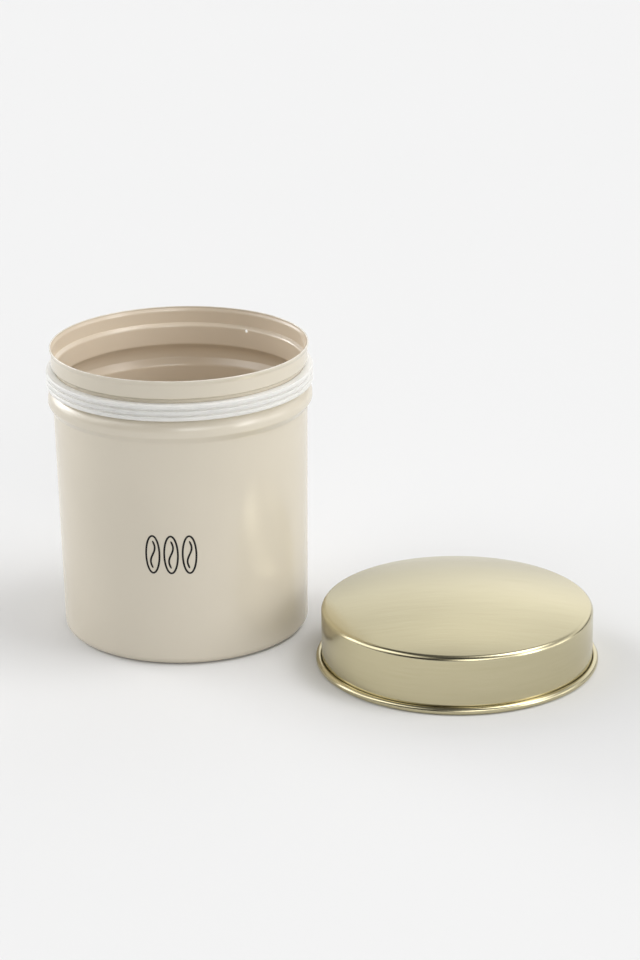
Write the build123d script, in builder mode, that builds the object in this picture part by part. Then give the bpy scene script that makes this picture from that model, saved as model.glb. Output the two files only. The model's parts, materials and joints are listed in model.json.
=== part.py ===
from build123d import *
import math
import os

# Coffee canister of drawn sheet with a lift-off lid. Units are mm, +Z is up.
# The origin is the centre of the canister's base, where it stands on the table.
# The lid stands dome up on the same table, in front and to the right (-Y, +X).

# ---- canister: sheet and heights
wall = 0.6                   # sheet with its coating
canister_height = 119.5
base_radius = 50.05          # body radius carried down to the table
base_corner = 3.5            # outside radius where wall meets floor
body_top_radius = 51.3       # the body widens slightly towards the shoulder
body_top_z = 93.9

# ---- canister: shoulder bead below the seal
bead_radius = 53.3
bead_bottom_z = 96.7
bead_top_z = 100.6
bead_cove_round = 1.8        # hollow radius where the bead runs into the body
bead_lower_round = 1.5
bead_upper_round = 6.0

# ---- canister: groove for the seal, and the neck above it
groove_radius = 50.0
groove_bottom_z = 103.9
groove_top_z = 111.4
groove_round = 0.65
neck_radius = 51.5
neck_bottom_z = 112.3
neck_round = 0.7
flare_bottom_z = 117.5       # the lip steps out by half a millimetre
flare_top_z = 118.6
flare_round = 1.5
rim_radius = 52.0
rim_edge_round = 0.25

# ---- canister: hole the shell hung from while it was coated
hang_hole_diameter = 1.4
hang_hole_z = 110.95
hang_hole_bearing = 31.7     # degrees from the back (+Y) towards +X

# ---- seal ring: a band with three fins round it
seal_clearance = 0.03
seal_band_bottom_z = 104.5
seal_band_top_z = 110.25
seal_band_radius = 52.6
seal_fin_radius = 53.7
seal_fins = [                # bottom and top of each fin, lowest first
    (103.75, 105.5),
    (106.0, 107.85),
    (108.35, 110.45),
]
seal_fin_inset_radius = 51.4 # the lowest fin hangs over the shoulder bead from here out
seal_fin_round = 0.6
seal_root_round = 0.2
seal_bore_round = 0.6
seal_inset_round = 0.3

# ---- lid: pressed dome, straight skirt, hem rolled outwards
lid_wall = 0.55
lid_x = 109.6
lid_y = -45.9
lid_height = 29.6
lid_radius = 54.0
lid_shoulder_z = 23.0        # where dome and skirt would meet without a round
lid_shoulder_round = 2.2
hem_roll_radius = 1.45
hem_roll_end = 116.0         # degrees, where the rolled edge stops short of the skirt


def round_corners(line, corners):
    """Round the corners of a section line, given as (radius, height, rounding)."""
    for radius, height, rounding in corners:
        fillet(line.vertices().sort_by_distance((radius, height))[0], radius=rounding)


# ================================================================ canister shell
with BuildPart() as canister_shell:
    with BuildSketch(Plane.XZ) as shell_section:
        with BuildLine() as shell_line:
            Polyline(
                (0, 0),
                (base_radius, 0),
                (body_top_radius, body_top_z),
                (bead_radius, bead_bottom_z),
                (bead_radius, bead_top_z),
                (groove_radius, groove_bottom_z),
                (groove_radius, groove_top_z),
                (neck_radius, neck_bottom_z),
                (neck_radius, flare_bottom_z),
                (rim_radius, flare_top_z),
                (rim_radius, canister_height),
            )
            round_corners(shell_line, [
                (base_radius, 0, base_corner),
                (body_top_radius, body_top_z, bead_cove_round),
                (bead_radius, bead_bottom_z, bead_lower_round),
                (bead_radius, bead_top_z, bead_upper_round),
                (groove_radius, groove_bottom_z, groove_round),
                (groove_radius, groove_top_z, groove_round),
                (neck_radius, neck_bottom_z, neck_round),
                (neck_radius, flare_bottom_z, flare_round),
                (rim_radius, flare_top_z, flare_round),
            ])
            offset(amount=wall, side=Side.LEFT, closed=True)
        make_face()
        fillet(shell_section.vertices().group_by(Axis.Y)[-1], radius=rim_edge_round)
    revolve(axis=Axis.Z)
    # the hole for the coating hook, from the axis out through the groove wall
    bearing = math.radians(hang_hole_bearing)
    hole_plane = Plane(
        origin=(0, 0, hang_hole_z),
        z_dir=(math.sin(bearing), math.cos(bearing), 0),
    )
    with BuildSketch(hole_plane):
        Circle(hang_hole_diameter / 2)
    extrude(amount=bead_radius, mode=Mode.SUBTRACT)


# ==================================================================== seal ring
with BuildPart() as seal_ring:
    with BuildSketch(Plane.XZ) as seal_section:
        seal_bore = groove_radius + seal_clearance
        rows = [(seal_bore, seal_band_radius, seal_band_bottom_z, seal_band_top_z)]
        rows += [(seal_fin_inset_radius, seal_fin_radius, low, high) for low, high in seal_fins]
        for inner, outer, low, high in rows:
            with Locations((inner, low)):
                Rectangle(outer - inner, high - low, align=(Align.MIN, Align.MIN))
        by_radius = seal_section.vertices().group_by(Axis.X)
        fillet(by_radius[0], radius=seal_bore_round)
        fillet(by_radius[1], radius=seal_inset_round)
        fillet(by_radius[-2], radius=seal_root_round)
        fillet(by_radius[-1], radius=seal_fin_round)
    revolve(axis=Axis.Z)


# ========================================================================= lid
with BuildPart() as lid_shell:
    with BuildSketch(Plane.XZ.offset(-lid_y)):
        with BuildLine() as lid_line:
            shoulder = (lid_x + lid_radius, lid_shoulder_z)
            TangentArc((lid_x, lid_height), shoulder, tangent=(1, 0))
            Line(shoulder, (lid_x + lid_radius, hem_roll_radius))
            round_corners(lid_line, [(*shoulder, lid_shoulder_round)])
            offset(amount=lid_wall, side=Side.RIGHT, closed=True)
        make_face()
        # the hem rolls outwards and back up, and stops just short of the skirt
        with BuildLine():
            hem_centre = (lid_x + lid_radius - lid_wall + hem_roll_radius, hem_roll_radius)
            hem_inside_radius = hem_roll_radius - lid_wall
            hem_turn = 180 + hem_roll_end
            hem_outside = CenterArc(hem_centre, hem_roll_radius, 180, hem_turn)
            hem_inside = CenterArc(hem_centre, hem_inside_radius, 180, hem_turn)
            Line(hem_outside @ 0, hem_inside @ 0)
            Line(hem_outside @ 1, hem_inside @ 1)
        make_face()
    revolve(axis=Axis((lid_x, lid_y, 0), (0, 0, 1)))


# ====================================================================== output
nodes = {
    "canister_shell": canister_shell,
    "seal_ring": seal_ring,
    "lid_shell": lid_shell,
}
os.makedirs("parts", exist_ok=True)
for name, node in nodes.items():
    node.part.label = name
    export_step(node.part, f"parts/{name}.step")
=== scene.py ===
import json
import math

import bmesh
import bpy
from mathutils import Matrix, Vector


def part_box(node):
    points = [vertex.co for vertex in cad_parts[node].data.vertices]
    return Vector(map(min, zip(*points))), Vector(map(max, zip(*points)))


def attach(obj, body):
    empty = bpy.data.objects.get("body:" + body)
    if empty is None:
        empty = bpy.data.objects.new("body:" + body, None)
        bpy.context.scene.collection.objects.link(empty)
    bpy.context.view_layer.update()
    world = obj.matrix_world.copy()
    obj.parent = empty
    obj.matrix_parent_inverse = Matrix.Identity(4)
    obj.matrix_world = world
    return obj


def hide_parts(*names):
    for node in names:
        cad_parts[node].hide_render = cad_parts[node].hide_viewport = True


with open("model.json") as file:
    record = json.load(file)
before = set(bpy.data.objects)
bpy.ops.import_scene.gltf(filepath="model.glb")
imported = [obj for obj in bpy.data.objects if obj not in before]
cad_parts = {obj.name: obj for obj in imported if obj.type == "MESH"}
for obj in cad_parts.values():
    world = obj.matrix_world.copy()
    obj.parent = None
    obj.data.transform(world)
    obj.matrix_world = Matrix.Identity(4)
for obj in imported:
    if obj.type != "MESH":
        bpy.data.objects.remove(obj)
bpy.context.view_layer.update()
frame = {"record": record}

# Coffee canister with its seal ring, and its lift-off lid beside it. Metres, +Z up, in the frame of
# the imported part. The shell, the seal ring and the lid are turned from sections, and the print is a
# thin strip on the shell's wall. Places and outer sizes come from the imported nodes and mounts.

MM = 0.001

# ================================================================== sizes, from the frame
shell_low, shell_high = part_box("canister_shell")
seal_low, seal_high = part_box("seal_ring")
lid_low, lid_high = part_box("lid_shell")
mounts = {mount["name"]: mount for mount in frame["record"]["mounts"]}

# ---- canister shell
WALL = 0.6 * MM
CANISTER_HEIGHT = shell_high.z
BEAD_RADIUS = shell_high.x
NECK_RADIUS = mounts["mouth"]["dims"]["r_mm"] * MM + WALL
RIM_RADIUS = NECK_RADIUS + 0.5 * MM
GROOVE_RADIUS = NECK_RADIUS - 1.5 * MM
BODY_TOP_RADIUS = BEAD_RADIUS - 2.0 * MM
BASE_RADIUS = BODY_TOP_RADIUS - 1.25 * MM
BASE_CORNER = 3.5 * MM
FLARE_TOP = CANISTER_HEIGHT - 0.9 * MM
FLARE_BOTTOM = CANISTER_HEIGHT - 2.0 * MM
NECK_BOTTOM = CANISTER_HEIGHT - 7.2 * MM
GROOVE_TOP = CANISTER_HEIGHT - 8.1 * MM
GROOVE_BOTTOM = CANISTER_HEIGHT - 15.6 * MM
BEAD_TOP = CANISTER_HEIGHT - 18.9 * MM
BEAD_BOTTOM = CANISTER_HEIGHT - 22.8 * MM
BODY_TOP = CANISTER_HEIGHT - 25.6 * MM
COVE_ROUND = 1.8 * MM
BEAD_LOWER_ROUND = 1.5 * MM
BEAD_UPPER_ROUND = 6.0 * MM
GROOVE_ROUND = 0.65 * MM
NECK_ROUND = 0.7 * MM
FLARE_ROUND = 1.5 * MM
RIM_ROUND = 0.25 * MM

# ---- hole that the shell hung from while it was coated
HOLE_RADIUS = 0.7 * MM
HOLE_HEIGHT = CANISTER_HEIGHT - 8.55 * MM
HOLE_BEARING = math.radians(90 - 31.7)
HOLE_CELLS = 3
HOLE_CLEAR_COLUMNS = 0.6

# ---- seal ring
SEAL_BORE = GROOVE_RADIUS + 0.03 * MM
SEAL_FIN_RADIUS = seal_high.x
SEAL_BAND_RADIUS = SEAL_FIN_RADIUS - 1.1 * MM
SEAL_BOTTOM = seal_low.z
SEAL_TOP = seal_high.z
SEAL_BAND_INSET = (0.75 * MM, 0.2 * MM)
SEAL_FINS = (1.75 * MM, 1.85 * MM, 2.1 * MM)
SEAL_INSET_RADIUS = SEAL_FIN_RADIUS - 2.3 * MM
SEAL_GAP = 0.5 * MM
SEAL_FIN_ROUND = 0.6 * MM
SEAL_ROOT_ROUND = 0.2 * MM
SEAL_BORE_ROUND = 0.6 * MM
SEAL_INSET_ROUND = 0.3 * MM

# ---- lid
LID_X, LID_Y = mounts["lid_skirt"]["pos_m"][:2]
LID_WALL = 0.55 * MM
LID_INSIDE = mounts["lid_skirt"]["dims"]["r_mm"] * MM
LID_RADIUS = LID_INSIDE + LID_WALL
LID_HEIGHT = lid_high.z
LID_SHOULDER = LID_HEIGHT - 6.6 * MM
LID_SHOULDER_ROUND = 2.2 * MM
HEM_RADIUS = (lid_high.x - LID_X - LID_INSIDE) / 2
HEM_END = math.radians(116)
HEM_EDGE_ROUND = 0.15 * MM
DOME_EDGE_GAP = 0.5 * MM
GRAIN_EDGE_GAP = 0.3 * MM

# ---- print on the front of the canister
PRINT_HEIGHT = 47.6 * MM
PRINT_BEARING = math.radians(-90 - 3.5)
BEAN_LENGTH = 15.6 * MM
BEAN_WIDTH = 5.4 * MM
BEAN_PITCH = 7.3 * MM
STROKE = 0.78 * MM
INK = 0.03 * MM

BEAN_STEPS = 56
SPLIT_STEPS = 30
SPLIT_LENGTH = 0.74 * BEAN_LENGTH
SPLIT_SWAY = 0.16 * BEAN_WIDTH
STROKE_TIP_STEPS = 2.0
STROKE_TIP_START = 0.35

# ---- fineness
ARC_STEP = math.radians(7)
RUN_STEP = 5.0 * MM
COLUMNS = 360
DOME_STEPS = 40
LEAST_ARC_STEPS = 3
SAME_HEIGHT = 1e-5 * MM
ON_AXIS = 1e-4 * MM
LEAST_STEP = 1e-9 * MM
NEIGHBOUR_ROWS = 3


# ============================================================================ sections
def turned(vector, angle):
    """A plane vector turned anticlockwise."""
    cosine, sine = math.cos(angle), math.sin(angle)
    return Vector((vector.x * cosine - vector.y * sine, vector.x * sine + vector.y * cosine))


def arc(centre, radius, start, sweep):
    """Points along an arc, both ends included."""
    steps = max(LEAST_ARC_STEPS, math.ceil(abs(sweep) / ARC_STEP))
    first = Vector((math.cos(start), math.sin(start))) * radius
    return [Vector(centre) + turned(first, sweep * k / steps) for k in range(steps + 1)]


def rounded(corners):
    """A section line through (radius, height, rounding) corners."""
    line = []
    for place, (radius, height, rounding) in enumerate(corners):
        corner = Vector((radius, height))
        if not rounding:
            line.append(corner)
            continue
        before = (Vector(corners[place - 1][:2]) - corner).normalized()
        after = (Vector(corners[(place + 1) % len(corners)][:2]) - corner).normalized()
        half = before.angle(after) / 2
        centre = corner + (before + after).normalized() * (rounding / math.sin(half))
        start = corner + before * (rounding / math.tan(half)) - centre
        end = corner + after * (rounding / math.tan(half)) - centre
        sweep = math.atan2(start.x * end.y - start.y * end.x, start.dot(end))
        line += arc(centre, rounding, math.atan2(start.y, start.x), sweep)
    return line


def divided(line, closed=False):
    """The same line with its long straight runs divided."""
    out = []
    ends = line[1:] + line[:1] if closed else line[1:]
    for start, end in zip(line, ends):
        pieces = max(1, math.ceil((end - start).length / RUN_STEP))
        out += [start.lerp(end, k / pieces) for k in range(pieces)]
    return out if closed else out + [line[-1]]


def sideways(line, distance):
    """The line moved to its left by a distance, its corners mitred."""
    out = []
    for place, point in enumerate(line):
        legs = []
        if place > 0:
            legs.append((point - line[place - 1]).normalized())
        if place < len(line) - 1:
            legs.append((line[place + 1] - point).normalized())
        along = sum(legs, Vector((0, 0))).normalized()
        left = Vector((-along.y, along.x))
        out.append(point + left * (distance / along.dot(legs[0])))
    return out


def at_a_row(height, heights):
    return any(abs(height - h) < SAME_HEIGHT for h in heights)


def with_rows(line, heights, low, high):
    """The line with one point at each height, and no others from the first height to the last,
    where it runs between low and high."""
    out = []
    for start, end in zip(line, line[1:] + [None]):
        among = low < start.y < high and heights[0] < start.y < heights[-1]
        if not among or at_a_row(start.y, heights):
            out.append(start)
        if end is None or not (low < start.y < high and low < end.y < high):
            continue
        least, most = min(start.y, end.y) + SAME_HEIGHT, max(start.y, end.y) - SAME_HEIGHT
        inside = [h for h in heights if least < h < most]
        for height in sorted(inside, reverse=end.y < start.y):
            out.append(start.lerp(end, (height - start.y) / (end.y - start.y)))
    return out


def line_normals(line, closed):
    """Unit normals on the right of a line; a straight run's own normal holds up to its ends."""
    out = []
    count = len(line)
    for place in range(count):
        total = Vector((0, 0))
        for first, second in ((place - 1, place), (place, place + 1)):
            if not closed and (first < 0 or second >= count):
                continue
            leg = line[second % count] - line[first % count]
            total += leg.normalized() * leg.length ** 2
        along = total.normalized()
        out.append(Vector((along.y, -along.x)))
    return out


# ============================================================================== turning
def turn(name, line, centre, bearings, hole_rows=None, hole_columns=None, inner_from=None):
    """A closed mesh turned round a vertical axis from a section that runs anticlockwise.
    hole_rows are the rows of the outer and of the inner sheet at a round hole, hole_columns its
    columns, and inner_from is the first row that is marked as the inside."""
    on_axis = line[0].x < ON_AXIS
    normals = line_normals(line, not on_axis)
    count = len(bearings)
    bm = bmesh.new()
    mesh_normals = []
    rings = []
    for point, normal in zip(line, normals):
        if point.x < ON_AXIS:
            rings.append([bm.verts.new((0, 0, point.y))] * count)
            mesh_normals.append(Vector((0, 0, math.copysign(1, normal.y))))
            continue
        ring = []
        for bearing in bearings:
            cosine, sine = math.cos(bearing), math.sin(bearing)
            ring.append(bm.verts.new((point.x * cosine, point.x * sine, point.y)))
            mesh_normals.append(Vector((normal.x * cosine, normal.x * sine, normal.y)))
        rings.append(ring)
    skipped = set()
    for rows in hole_rows or []:
        for row in rows[:-1]:
            skipped |= {(row, column) for column in hole_columns[:-1]}
    wall_faces = []
    pairs = [(row, row + 1) for row in range(len(rings) - 1)]
    if not on_axis:
        pairs.append((len(rings) - 1, 0))
    for row, following in pairs:
        for column in range(count):
            if (row, column) in skipped:
                continue
            beside = (column + 1) % count
            corners = [rings[row][column], rings[row][beside],
                       rings[following][beside], rings[following][column]]
            bm.faces.new(list(dict.fromkeys(corners)))
    if hole_rows:
        outer, inner = (hole_border(rings, rows, hole_columns) for rows in hole_rows)
        for place in range(len(outer)):
            after = (place + 1) % len(outer)
            wall_faces.append(bm.faces.new([outer[place], outer[after],
                                            inner[after], inner[place]]))
    bm.verts.index_update()
    bm.faces.index_update()
    ring_indices = [[vertex.index for vertex in ring] for ring in rings]
    walls = {face.index for face in wall_faces}
    mesh = bpy.data.meshes.new(name)
    bm.to_mesh(mesh)
    bm.free()
    for polygon in mesh.polygons:
        polygon.use_smooth = True
    hole_axis = Vector((math.cos(HOLE_BEARING), math.sin(HOLE_BEARING), 0))
    loops = []
    for polygon in mesh.polygons:
        for vertex in polygon.vertices:
            if polygon.index in walls:
                spot = mesh.vertices[vertex].co
                out = spot - hole_axis * spot.dot(hole_axis) - Vector((0, 0, HOLE_HEIGHT))
                loops.append(-out.normalized())
            else:
                loops.append(mesh_normals[vertex])
    mesh.normals_split_custom_set(loops)
    if inner_from is not None:
        mark = mesh.attributes.new("inside", "FLOAT", "POINT")
        for row, ring in enumerate(ring_indices):
            for vertex in set(ring):
                mark.data[vertex].value = 1.0 if row >= inner_from else 0.0
    piece = bpy.data.objects.new(name, mesh)
    piece.location = (*centre, 0)
    bpy.context.scene.collection.objects.link(piece)
    return piece


def radius_at(profile, height):
    """Radius of a section line at a height, from its (height, radius) points in rising order."""
    for (low, first), (high, second) in zip(profile, profile[1:]):
        if low <= height <= high:
            return first + (second - first) * (height - low) / max(high - low, LEAST_STEP)
    return profile[-1][1]


def hole_border(rings, rows, columns):
    """The vertices round the cut-out, in order, moved from its square edge onto the hole's edge."""
    low, high = rows[0], rows[-1]
    around = [ring[0].co for ring in rings[low - NEIGHBOUR_ROWS:high + NEIGHBOUR_ROWS + 1]]
    profile = sorted((spot.z, math.hypot(spot.x, spot.y)) for spot in around)
    if rings[low][0].co.z > rings[high][0].co.z:
        low, high = high, low
    upwards = 1 if high > low else -1
    levels = list(range(low, high + upwards, upwards))
    side = 2 * HOLE_CELLS
    walk = [(0, k) for k in range(side)] + [(k, side) for k in range(side)]
    walk += [(side, side - k) for k in range(side)] + [(side - k, 0) for k in range(side)]
    border = []
    for level, column in walk:
        vertex = rings[levels[level]][columns[column]]
        turn_angle = math.atan2(level - HOLE_CELLS, column - HOLE_CELLS)
        height = HOLE_HEIGHT + HOLE_RADIUS * math.sin(turn_angle)
        radius = radius_at(profile, height)
        across = HOLE_RADIUS * math.cos(turn_angle)
        bearing = HOLE_BEARING + math.asin(across / radius)
        vertex.co = (radius * math.cos(bearing), radius * math.sin(bearing), height)
        border.append(vertex)
    return border


def even_bearings(count):
    return [2 * math.pi * k / count for k in range(count)]


# ============================================================================ node helpers
class Nodes:
    """A short way to write a material's node tree."""

    def __init__(self, tree):
        self.tree = tree
        tree.nodes.clear()

    def add(self, kind, links=None, **values):
        node = self.tree.nodes.new(kind)
        for key, value in values.items():
            setattr(node, key, value)
        for key, value in (links or {}).items():
            socket = node.inputs[key]
            if isinstance(value, bpy.types.NodeSocket):
                self.tree.links.new(value, socket)
            else:
                socket.default_value = value
        return node

    def math(self, operation, first, second=0.0):
        return self.add("ShaderNodeMath", {0: first, 1: second}, operation=operation).outputs[0]

    def noise(self, vector, scale, detail=2.0):
        node = self.add("ShaderNodeTexNoise", {"Vector": vector, "Scale": scale, "Detail": detail})
        return node.outputs["Fac"]

    def joined(self, x, y):
        return self.add("ShaderNodeCombineXYZ", {"X": x, "Y": y}).outputs[0]

    def ramp(self, value, low, high, to_low=0.0, to_high=1.0):
        node = self.add("ShaderNodeMapRange",
                        {"Value": value, "From Min": low, "From Max": high,
                         "To Min": to_low, "To Max": to_high})
        return node.outputs["Result"]

    def mix(self, factor, first, second):
        node = self.add("ShaderNodeMix", data_type="RGBA")
        for socket, value in ((0, factor), (6, first), (7, second)):
            if isinstance(value, bpy.types.NodeSocket):
                self.tree.links.new(value, node.inputs[socket])
            else:
                node.inputs[socket].default_value = value
        return node.outputs[2]

    def bump(self, height, distance, strength, normal=None):
        links = {"Height": height, "Distance": distance, "Strength": strength}
        if normal is not None:
            links["Normal"] = normal
        return self.add("ShaderNodeBump", links).outputs["Normal"]


def material(name):
    made = bpy.data.materials.new(name)
    made.use_nodes = True
    return made, Nodes(made.node_tree)


def finish_shader(nodes, links, **fixed):
    """The surface shader: links carry what varies, fixed what is even all over."""
    shader = nodes.add("ShaderNodeBsdfPrincipled", links)
    for key, value in fixed.items():
        shader.inputs[key.replace("_", " ")].default_value = value
    output = nodes.add("ShaderNodeOutputMaterial")
    nodes.tree.links.new(shader.outputs[0], output.inputs["Surface"])


# ============================================================================== materials
# Colours are linear, noise scales are per metre, and each roughness is its least and most value.
NOISE_SPAN = (0.3, 0.7)

COAT_TONES = ((0.640, 0.584, 0.478, 1), (0.660, 0.602, 0.494, 1))
COAT_TONE_SPAN = (0.35, 0.65)
COAT_SPECK = (0.560, 0.500, 0.400, 1)
COAT_SPECK_AMOUNT = 0.03
# warmer, slightly lighter tone for the inner sheet: painted bounce light inside the mouth
COAT_INSIDE_BOUNCE_LIGHT = (0.700, 0.600, 0.472, 1)
# lighter top of the rim: worn thin coat and a painted highlight on the rim edge
RIM_WEAR_AND_HIGHLIGHT_TONE = (0.80, 0.76, 0.69, 1)
RIM_WEAR_AND_HIGHLIGHT_FROM = CANISTER_HEIGHT - 0.35 * MM
RIM_WEAR_AND_HIGHLIGHT_TO = CANISTER_HEIGHT - 0.05 * MM
RIM_WEAR_AND_HIGHLIGHT_SPAN = (0.40, 0.62)
RIM_WEAR_AND_HIGHLIGHT_AMOUNT = (0.35, 0.95)
COAT_DRIFT, COAT_GRAIN, RIM_WEAR_AND_HIGHLIGHT_PATCHES, COAT_PEEL, COAT_WAVE = 22.0, 900.0, 260.0, 620.0, 34.0
COAT_WAVE_DEPTH, COAT_WAVE_STRENGTH = 0.10 * MM, 0.2
COAT_PEEL_DEPTH, COAT_PEEL_STRENGTH = 0.004 * MM, 0.3
COAT_ROUGHNESS = (0.16, 0.18)
COAT_IOR = 1.62

# grey at the fin edges and white in towards the band: the contrast is painted light lifting the shade
# in the grooves
SILICONE_FIN_EDGE_TONES = ((0.690, 0.682, 0.655, 1), (0.705, 0.697, 0.670, 1))
SILICONE_GROOVE_LIGHT = (0.94, 0.925, 0.885, 1)
SILICONE_GROOVE_LIGHT_OUTER = SEAL_FIN_RADIUS - 0.25 * MM
SILICONE_CLOUD, SILICONE_SKIN = 90.0, 1500.0
SILICONE_SKIN_DEPTH, SILICONE_SKIN_STRENGTH = 0.002 * MM, 0.2
SILICONE_ROUGHNESS = (0.34, 0.42)
SILICONE_IOR = 1.41
SILICONE_SCATTER = 4.0 * MM

GOLD_TONES = ((0.580, 0.528, 0.350, 1), (0.610, 0.555, 0.372, 1))
GOLD_HAIR = (0.50, 0.43, 0.26, 1)
GOLD_HAIR_SPAN = (0.35, 0.65)
GOLD_HAIR_AMOUNT = 0.28
GOLD_FINE_GRAIN = (60.0, 5200.0)
GOLD_BROAD_GRAIN = (22.0, 900.0)
GOLD_SMUDGE, GOLD_WAVE = 45.0, 30.0
GOLD_ROUGHNESS = (0.17, 0.22)
GOLD_SMUDGE_SPAN = (0.4, 0.7)
GOLD_SMUDGE_ROUGHNESS = 0.02
GOLD_WAVE_DEPTH, GOLD_WAVE_STRENGTH = 0.10 * MM, 0.4
GOLD_HAIR_DEPTH, GOLD_HAIR_STRENGTH = 0.006 * MM, 0.6
GOLD_ANISOTROPY = 0.25

INK_TONES = ((0.008, 0.007, 0.006, 1), (0.018, 0.015, 0.013, 1))
INK_COVER = 1400.0
INK_ROUGHNESS = (0.50, 0.62)
INK_DEPTH, INK_STRENGTH = 0.004 * MM, 0.6
INK_SPECULAR = 0.25

PAPER_TONES = ((0.800, 0.800, 0.800, 1), (0.804, 0.804, 0.804, 1))
PAPER_CLOUD = 3.0


def cream_coat():
    """Semi-gloss cream powder coat with orange peel. Lighter in patches along the top of the rim:
    worn thin coat and a painted highlight on the rim edge. A warmer, slightly lighter tone inside:
    painted bounce light in the mouth.
    """
    made, n = material("cream_coat")
    place = n.add("ShaderNodeTexCoord").outputs["Object"]
    height = n.add("ShaderNodeSeparateXYZ", {"Vector": place}).outputs["Z"]
    drift = n.noise(place, COAT_DRIFT)
    grain = n.noise(place, COAT_GRAIN, 3.0)
    tone = n.mix(n.ramp(drift, *COAT_TONE_SPAN), *COAT_TONES)
    speck = n.ramp(grain, *NOISE_SPAN, 0.0, COAT_SPECK_AMOUNT)
    tone = n.mix(speck, tone, COAT_SPECK)
    # the inner sheet gets its own warmer, slightly lighter tone: painted bounce light inside the
    # mouth
    inside = n.add("ShaderNodeAttribute", attribute_name="inside").outputs["Fac"]
    tone = n.mix(inside, tone, COAT_INSIDE_BOUNCE_LIGHT)
    # lighter in patches along the top of the rim: worn thin coat and a painted highlight on the rim
    # edge
    thin = n.ramp(height, RIM_WEAR_AND_HIGHLIGHT_FROM, RIM_WEAR_AND_HIGHLIGHT_TO)
    patches = n.ramp(n.noise(place, RIM_WEAR_AND_HIGHLIGHT_PATCHES), *RIM_WEAR_AND_HIGHLIGHT_SPAN, *RIM_WEAR_AND_HIGHLIGHT_AMOUNT)
    tone = n.mix(n.math("MULTIPLY", thin, patches), tone, RIM_WEAR_AND_HIGHLIGHT_TONE)
    surface = n.bump(n.noise(place, COAT_WAVE, 1.0), COAT_WAVE_DEPTH, COAT_WAVE_STRENGTH)
    surface = n.bump(n.noise(place, COAT_PEEL), COAT_PEEL_DEPTH, COAT_PEEL_STRENGTH, surface)
    rough = n.ramp(grain, *NOISE_SPAN, *COAT_ROUGHNESS)
    finish_shader(n, {"Base Color": tone, "Roughness": rough, "Normal": surface}, IOR=COAT_IOR)
    return made


def silicone():
    """Translucent white silicone with a fine moulded skin. Greyer at the fin edges, where the fins
    are thin and clearer, and whiter in towards the band: painted light that lifts the shade in the
    grooves between the fins.
    """
    made, n = material("silicone")
    place = n.add("ShaderNodeTexCoord").outputs["Object"]
    cloud = n.noise(place, SILICONE_CLOUD)
    tone = n.mix(n.ramp(cloud, *NOISE_SPAN), *SILICONE_FIN_EDGE_TONES)
    split = n.add("ShaderNodeSeparateXYZ", {"Vector": place})
    level = n.joined(split.outputs["X"], split.outputs["Y"])
    from_axis = n.add("ShaderNodeVectorMath", {0: level}, operation="LENGTH").outputs["Value"]
    # whiter from the fin edges in towards the band: painted light lifting the shade in the grooves
    # between the fins
    groove_light = n.ramp(from_axis, SILICONE_GROOVE_LIGHT_OUTER, SEAL_BAND_RADIUS)
    tone = n.mix(groove_light, tone, SILICONE_GROOVE_LIGHT)
    surface = n.bump(n.noise(place, SILICONE_SKIN), SILICONE_SKIN_DEPTH, SILICONE_SKIN_STRENGTH)
    rough = n.ramp(cloud, *NOISE_SPAN, *SILICONE_ROUGHNESS)
    finish_shader(n, {"Base Color": tone, "Roughness": rough, "Normal": surface},
                  Subsurface_Weight=1.0, Subsurface_Scale=SILICONE_SCATTER,
                  Subsurface_Radius=(1.0, 1.0, 1.0), IOR=SILICONE_IOR)
    return made


def pale_gold():
    """Pale gold plate with a fine grain, straight on the dome and round the skirt."""
    made, n = material("pale_gold_metal")
    place = n.add("ShaderNodeTexCoord").outputs["Object"]
    grain_place = n.add("ShaderNodeUVMap", uv_map="grain").outputs[0]
    split = n.add("ShaderNodeSeparateXYZ", {"Vector": grain_place})
    hair, streak = (
        n.noise(n.joined(n.math("MULTIPLY", split.outputs["X"], along),
                         n.math("MULTIPLY", split.outputs["Y"], across)), 1.0, detail)
        for (along, across), detail in ((GOLD_FINE_GRAIN, 2.0), (GOLD_BROAD_GRAIN, 3.0)))
    tone = n.mix(n.ramp(streak, *NOISE_SPAN), *GOLD_TONES)
    tone = n.mix(n.ramp(hair, *GOLD_HAIR_SPAN, 0.0, GOLD_HAIR_AMOUNT), tone, GOLD_HAIR)
    smudge = n.ramp(n.noise(place, GOLD_SMUDGE), *GOLD_SMUDGE_SPAN, 0.0, GOLD_SMUDGE_ROUGHNESS)
    rough = n.math("ADD", n.ramp(streak, *NOISE_SPAN, *GOLD_ROUGHNESS), smudge)
    surface = n.bump(n.noise(place, GOLD_WAVE, 1.0), GOLD_WAVE_DEPTH, GOLD_WAVE_STRENGTH)
    surface = n.bump(hair, GOLD_HAIR_DEPTH, GOLD_HAIR_STRENGTH, surface)
    tangent = n.add("ShaderNodeTangent", direction_type="UV_MAP", uv_map="grain").outputs[0]
    finish_shader(n, {"Base Color": tone, "Roughness": rough, "Normal": surface,
                      "Tangent": tangent}, Metallic=1.0, Anisotropic=GOLD_ANISOTROPY)
    return made


def ink():
    """Near-black screen print, a little uneven."""
    made, n = material("dark_print")
    place = n.add("ShaderNodeTexCoord").outputs["Object"]
    cover = n.noise(place, INK_COVER, 3.0)
    tone = n.mix(n.ramp(cover, *NOISE_SPAN), *INK_TONES)
    rough = n.ramp(cover, *NOISE_SPAN, *INK_ROUGHNESS)
    surface = n.bump(cover, INK_DEPTH, INK_STRENGTH)
    finish_shader(n, {"Base Color": tone, "Roughness": rough, "Normal": surface},
                  Specular_IOR_Level=INK_SPECULAR)
    return made


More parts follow.
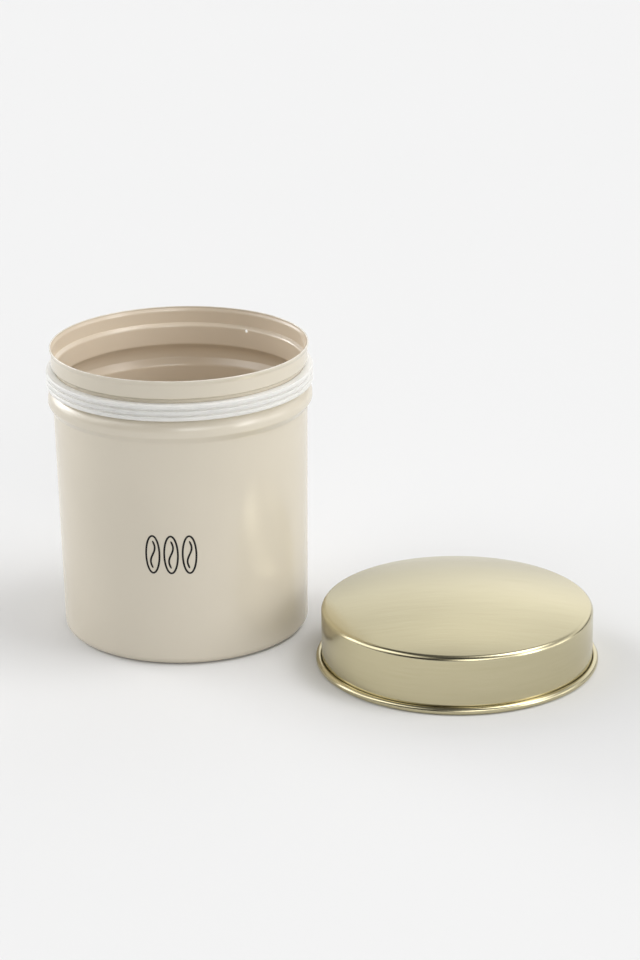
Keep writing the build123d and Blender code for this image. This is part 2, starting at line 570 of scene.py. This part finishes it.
def floor_paper():
    """Plain pale studio floor."""
    made, n = material("floor_paper")
    place = n.add("ShaderNodeTexCoord").outputs["Object"]
    tone = n.mix(n.ramp(n.noise(place, PAPER_CLOUD), *NOISE_SPAN), *PAPER_TONES)
    shader = n.add("ShaderNodeBsdfDiffuse", {"Color": tone})
    output = n.add("ShaderNodeOutputMaterial")
    n.tree.links.new(shader.outputs[0], output.inputs["Surface"])
    return made


def dress(piece, look):
    piece.data.materials.clear()
    piece.data.materials.append(look)


# ========================================================================= canister shell
def canister_section():
    """The shell's section from axis to axis, the rows of its outer and inner sheet at the hole,
    and its first row on the inside."""
    outside = rounded([
        (0, 0, 0),
        (BASE_RADIUS, 0, BASE_CORNER),
        (BODY_TOP_RADIUS, BODY_TOP, COVE_ROUND),
        (BEAD_RADIUS, BEAD_BOTTOM, BEAD_LOWER_ROUND),
        (BEAD_RADIUS, BEAD_TOP, BEAD_UPPER_ROUND),
        (GROOVE_RADIUS, GROOVE_BOTTOM, GROOVE_ROUND),
        (GROOVE_RADIUS, GROOVE_TOP, GROOVE_ROUND),
        (NECK_RADIUS, NECK_BOTTOM, NECK_ROUND),
        (NECK_RADIUS, FLARE_BOTTOM, FLARE_ROUND),
        (RIM_RADIUS, FLARE_TOP, FLARE_ROUND),
        (RIM_RADIUS, CANISTER_HEIGHT, 0),
    ])
    outside = divided(outside)
    inside = sideways(outside, WALL)
    inside[0].x = 0.0
    rim = rounded([
        (*outside[-2], 0),
        (*outside[-1], RIM_ROUND),
        (*inside[-1], RIM_ROUND),
        (*inside[-2], 0),
    ])[1:-1]
    steps = range(-HOLE_CELLS, HOLE_CELLS + 1)
    heights = [HOLE_HEIGHT + HOLE_RADIUS * k / HOLE_CELLS for k in steps]
    low, high = GROOVE_BOTTOM, NECK_BOTTOM
    line = with_rows(outside[:-1], heights, low, high) + rim
    middle = len(line)
    line += with_rows(inside[:-1][::-1], heights, low, high)
    rows = ([], [])
    for place, point in enumerate(line):
        if low < point.y < high and at_a_row(point.y, heights):
            rows[0 if place < middle else 1].append(place)
    return line, rows, middle


def canister_shell():
    line, rows, middle = canister_section()
    step = 2 * math.pi / COLUMNS
    cell = math.asin(HOLE_RADIUS / HOLE_CELLS / GROOVE_RADIUS)
    near = [HOLE_BEARING + cell * k for k in range(-HOLE_CELLS, HOLE_CELLS + 1)]
    clear = cell * HOLE_CELLS + step * HOLE_CLEAR_COLUMNS
    bearings = [b for b in even_bearings(COLUMNS) if abs(b - HOLE_BEARING) > clear]
    before = [b for b in bearings if b < HOLE_BEARING]
    after = [b for b in bearings if b > HOLE_BEARING]
    columns = list(range(len(before), len(before) + len(near)))
    piece = turn("canister_body", line, (0, 0), before + near + after, rows, columns, middle)
    dress(piece, cream_coat())
    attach(piece, "canister")
    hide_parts("canister_shell")


# ============================================================================== seal ring
def seal_section():
    """The seal's closed section: three fins on a band, in the groove."""
    fins = []
    low = SEAL_BOTTOM
    for thickness in SEAL_FINS:
        fins.append((low, low + thickness))
        low += thickness + SEAL_GAP
    bottom, top = SEAL_BOTTOM + SEAL_BAND_INSET[0], SEAL_TOP - SEAL_BAND_INSET[1]
    corners = [(SEAL_BORE, bottom, SEAL_BORE_ROUND)]
    for place, (under, over) in enumerate(fins):
        if place == 0:
            corners.append((SEAL_INSET_RADIUS, bottom, SEAL_INSET_ROUND))
            corners.append((SEAL_INSET_RADIUS, under, SEAL_INSET_ROUND))
        corners.append((SEAL_FIN_RADIUS, under, SEAL_FIN_ROUND))
        corners.append((SEAL_FIN_RADIUS, over, SEAL_FIN_ROUND))
        if place < len(fins) - 1:
            corners.append((SEAL_BAND_RADIUS, over, SEAL_ROOT_ROUND))
            corners.append((SEAL_BAND_RADIUS, fins[place + 1][0], SEAL_ROOT_ROUND))
    corners.append((SEAL_BAND_RADIUS, top, 0))
    corners.append((SEAL_BORE, top, SEAL_BORE_ROUND))
    return divided(rounded(corners), closed=True)


def seal_ring():
    piece = turn("silicone_seal", seal_section(), (0, 0), even_bearings(COLUMNS))
    dress(piece, silicone())
    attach(piece, "canister")
    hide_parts("seal_ring")


# ==================================================================================== lid
def lid_section():
    """The lid's section from axis to axis, and the radius where its dome meets the shoulder."""
    run, drop = LID_RADIUS, LID_HEIGHT - LID_SHOULDER
    dome_radius = (run ** 2 + drop ** 2) / (2 * drop)
    half = math.asin(run / dome_radius)
    dome = []
    for k in range(DOME_STEPS + 1):
        angle = half * k / DOME_STEPS
        dome.append(Vector((dome_radius * math.sin(angle),
                            LID_HEIGHT - dome_radius * (1 - math.cos(angle)))))
    # the shoulder's round touches the dome's arc and the skirt
    rounding = LID_SHOULDER_ROUND
    centre_x = LID_RADIUS - rounding
    dome_centre_z = LID_HEIGHT - dome_radius
    centre_z = dome_centre_z + math.sqrt((dome_radius - rounding) ** 2 - centre_x ** 2)
    start = math.atan2(centre_z - dome_centre_z, centre_x)
    touch = centre_x + rounding * math.cos(start)
    dome = [p for p in dome if p.x < touch - DOME_EDGE_GAP]
    outside = dome + arc((centre_x, centre_z), rounding, start, -start)
    outside.append(Vector((LID_RADIUS, HEM_RADIUS)))
    outside = divided(outside)
    inside = sideways(outside, -LID_WALL)
    inside[0].x = 0.0
    centre = (LID_INSIDE + HEM_RADIUS, HEM_RADIUS)
    sweep = math.pi + HEM_END
    curl = arc(centre, HEM_RADIUS - LID_WALL, math.pi, sweep)
    roll = arc(centre, HEM_RADIUS, math.pi, sweep)[::-1]
    # the sheet's raw edge, slightly rounded
    edge = rounded([
        (*curl[-2], 0),
        (*curl[-1], HEM_EDGE_ROUND),
        (*roll[0], HEM_EDGE_ROUND),
        (*roll[1], 0),
    ])[1:-1]
    line = outside[:-1] + curl[:-1] + edge + roll[1:] + inside[:-1][::-1]
    return line[::-1], touch


def grain_map(piece, dome_edge):
    """UVs along the grain: straight lines on the dome, circles on the skirt and hem."""
    mesh = piece.data
    layer = mesh.uv_layers.new(name="grain")
    for polygon in mesh.polygons:
        middle = polygon.center
        on_dome = math.hypot(middle.x, middle.y) < dome_edge
        start = math.atan2(middle.y, middle.x)
        for loop in polygon.loop_indices:
            spot = mesh.vertices[mesh.loops[loop].vertex_index].co
            if on_dome:
                layer.data[loop].uv = (spot.x, spot.y)
                continue
            bearing = math.atan2(spot.y, spot.x)
            bearing += 2 * math.pi * round((start - bearing) / (2 * math.pi))
            layer.data[loop].uv = (bearing * LID_RADIUS, spot.z + math.hypot(spot.x, spot.y))


def lid_shell():
    line, dome_edge = lid_section()
    piece = turn("lid", line, (LID_X, LID_Y), even_bearings(COLUMNS))
    grain_map(piece, dome_edge - GRAIN_EDGE_GAP)
    dress(piece, pale_gold())
    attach(piece, "lid")
    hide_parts("lid_shell")


# ================================================================= print on the canister
def bean_strokes(middle):
    """One bean drawn upright: its outline, a closed line, and its wavy split, an open one."""
    outline = []
    for k in range(BEAN_STEPS):
        angle = 2 * math.pi * k / BEAN_STEPS
        outline.append(Vector((middle + BEAN_WIDTH / 2 * math.cos(angle),
                               BEAN_LENGTH / 2 * math.sin(angle))))
    split = []
    for k in range(SPLIT_STEPS + 1):
        share = k / SPLIT_STEPS
        sway = SPLIT_SWAY * math.sin(2 * math.pi * share)
        split.append(Vector((middle + sway, (0.5 - share) * SPLIT_LENGTH)))
    return [(outline, True), (split, False)]


def wall_radius(height):
    """Radius of the coated body at a height."""
    share = height / BODY_TOP
    return BASE_RADIUS + (BODY_TOP_RADIUS - BASE_RADIUS) * share


def ribbon(bm, line, closed):
    """A printed stroke: a thin closed strip along a line drawn on the canister's wall."""
    count = len(line)
    rings = []
    for place, point in enumerate(line):
        if closed:
            along = line[(place + 1) % count] - line[place - 1]
        else:
            along = line[min(place + 1, count - 1)] - line[max(place - 1, 0)]
        along.normalize()
        side = Vector((-along.y, along.x)) * STROKE / 2
        if not closed:
            end = min(place, count - 1 - place)
            side *= math.sqrt(min(1.0, (end + STROKE_TIP_START) / STROKE_TIP_STEPS))
        ring = []
        for offset, lift in ((side, -INK), (side, INK), (-side, INK), (-side, -INK)):
            spot = point + offset
            height = PRINT_HEIGHT + spot.y
            radius = wall_radius(height)
            bearing = PRINT_BEARING + spot.x / radius
            radius += lift
            ring.append(bm.verts.new((radius * math.cos(bearing), radius * math.sin(bearing),
                                      height)))
        rings.append(ring)
    spans = list(zip(rings, rings[1:]))
    if closed:
        spans.append((rings[-1], rings[0]))
    for first, second in spans:
        for k in range(len(first)):
            after = (k + 1) % len(first)
            bm.faces.new([first[k], second[k], second[after], first[after]])
    if not closed:
        bm.faces.new(rings[0])
        bm.faces.new(rings[-1][::-1])


def front_print():
    bm = bmesh.new()
    for place in (-1, 0, 1):
        for line, closed in bean_strokes(place * BEAN_PITCH):
            ribbon(bm, line, closed)
    bmesh.ops.recalc_face_normals(bm, faces=bm.faces)
    mesh = bpy.data.meshes.new("front_print")
    bm.to_mesh(mesh)
    bm.free()
    piece = bpy.data.objects.new("front_print", mesh)
    bpy.context.scene.collection.objects.link(piece)
    dress(piece, ink())
    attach(piece, "canister")


# ================================================================ floor, light and camera
FLOOR_REACH = 12.0
FLOOR_DROP = 0.05 * MM
FLOOR_SQUARES = 8

# Soft lights far away, by elevation: bearing from +X, how narrow it is, and strength. Elevations and
# bearings are in degrees. Most strengths were solved for by a fit to the photo's light, and the rest
# were set one by one.
SOFT_LIGHTS = {
    3: [(0, 40, 2.7), (68, 40, 1.0), (90, 40, 0.65), (135, 40, 2.5), (158, 40, 1.9)],
    9: [(330, 60, 5.0)],
    22: [(11, 40, 0.9), (34, 40, 1.0), (56, 40, 1.1), (79, 40, 1.0), (101, 40, 0.8),
         (146, 40, 7.9), (169, 40, 2.3), (191, 40, 1.4), (281, 40, 3.6), (304, 40, 1.6),
         (334, 60, 3.0)],
    43: [(55, 40, 0.65), (83, 40, 0.95), (111, 40, 0.8), (194, 40, 2.45), (222, 40, 1.3),
         (338, 40, 1.5)],
    62: [(0, 40, 7.0)],
    88: [(90, 14, 0.16)],
}
LIGHT_LEVEL = 1.05
BACKDROP = 0.88
WHITE = (1, 1, 1, 1)


def floor():
    bm = bmesh.new()
    bmesh.ops.create_grid(bm, x_segments=FLOOR_SQUARES, y_segments=FLOOR_SQUARES,
                          size=FLOOR_REACH)
    mesh = bpy.data.meshes.new("studio_floor")
    bm.to_mesh(mesh)
    bm.free()
    piece = bpy.data.objects.new("studio_floor", mesh)
    piece.location = (0, 0, -FLOOR_DROP)
    bpy.context.scene.collection.objects.link(piece)
    dress(piece, floor_paper())


def soft_lights(n, towards):
    """The added strength of a set of soft lights in the direction that is looked in."""
    total = None
    for elevation, lights in SOFT_LIGHTS.items():
        level, rise = math.cos(math.radians(elevation)), math.sin(math.radians(elevation))
        for bearing, narrow, strength in lights:
            bearing = math.radians(bearing)
            middle = (math.cos(bearing) * level, math.sin(bearing) * level, rise)
            facing = n.add("ShaderNodeVectorMath", {0: towards, 1: middle},
                           operation="DOT_PRODUCT")
            away = n.math("SUBTRACT", facing.outputs["Value"], 1.0)
            falloff = n.math("EXPONENT", n.math("MULTIPLY", away, narrow))
            amount = n.math("MULTIPLY", falloff, strength)
            total = amount if total is None else n.math("ADD", total, amount)
    return total


def studio_light():
    """Broad soft lights all round. The camera sees a plain pale backdrop in their place."""
    world = bpy.data.worlds.new("studio")
    bpy.context.scene.world = world
    world.use_nodes = True
    n = Nodes(world.node_tree)
    towards = n.add("ShaderNodeTexCoord").outputs["Generated"]
    strength = n.math("MULTIPLY", soft_lights(n, towards), LIGHT_LEVEL)
    lights = n.add("ShaderNodeBackground", {"Color": WHITE, "Strength": strength})
    paper = n.add("ShaderNodeBackground", {"Color": WHITE, "Strength": BACKDROP})
    seen = n.add("ShaderNodeLightPath").outputs["Is Camera Ray"]
    shown = n.add("ShaderNodeMixShader", {0: seen, 1: lights.outputs[0], 2: paper.outputs[0]})
    output = n.add("ShaderNodeOutputWorld")
    n.tree.links.new(shown.outputs[0], output.inputs["Surface"])


# the camera's place in metres, its angles in degrees, and its lens on a 36 mm sensor
CAMERA_PLACE = (0.0560, -1.1129, 0.4589)
CAMERA_DOWN = 19.722
CAMERA_LEFT = 0.008
CAMERA_ROLL = -0.778
LENS = 108.64
SENSOR = 36.0
NEAREST, FURTHEST = 0.05, 60.0


def camera():
    data = bpy.data.cameras.new("camera")
    data.sensor_width = SENSOR
    data.lens = LENS
    data.clip_start, data.clip_end = NEAREST, FURTHEST
    view = bpy.data.objects.new("camera", data)
    turn_down = Matrix.Rotation(math.radians(90 - CAMERA_DOWN), 4, "X")
    roll = Matrix.Rotation(math.radians(CAMERA_ROLL), 4, "Z")
    aside = Matrix.Rotation(math.radians(CAMERA_LEFT), 4, "Z")
    view.matrix_world = Matrix.Translation(CAMERA_PLACE) @ aside @ turn_down @ roll
    bpy.context.scene.collection.objects.link(view)
    bpy.context.scene.camera = view


# ================================================================================= build
canister_shell()
seal_ring()
lid_shell()
front_print()
floor()
studio_light()
camera()
bpy.context.scene.view_settings.view_transform = "Standard"
